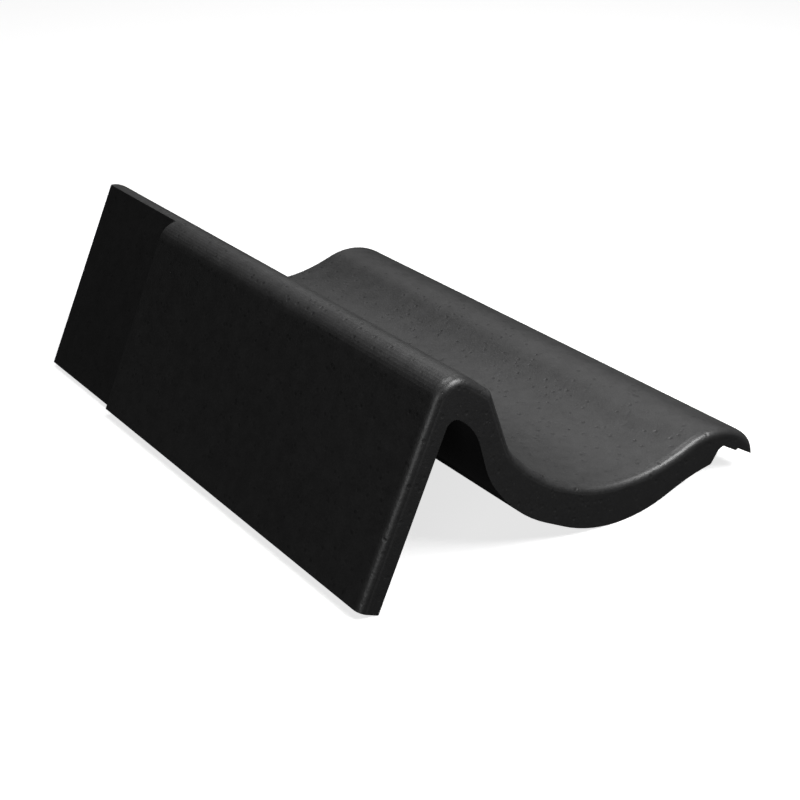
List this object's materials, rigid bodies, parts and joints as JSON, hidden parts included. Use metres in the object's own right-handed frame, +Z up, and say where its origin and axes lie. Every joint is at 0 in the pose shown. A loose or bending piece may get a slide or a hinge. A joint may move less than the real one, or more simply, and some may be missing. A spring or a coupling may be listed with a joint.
{
  "type": "verge tile",
  "caption": "Left-hand verge tile of dark concrete: a hanging side flap under a rounded roll, a wide trough and a crest that ends in an overlapping lip.",
  "frame": {"origin": "middle of the outer box, on the floor that the tile lies on", "axes": "+Y along the tile from its tail to its head, +Z up, +X across it from the flap to the lip; the tile leans 23 degrees about Y, as it lies unheld on its flap and trough"},
  "size_m": [0.3234, 0.42, 0.1342],
  "materials": {
    "concrete": "fine-grained black concrete, satin on the weather side"
  },
  "bodies": {
    "root": {"verge_tile": "concrete"}
  },
  "joints": []
}
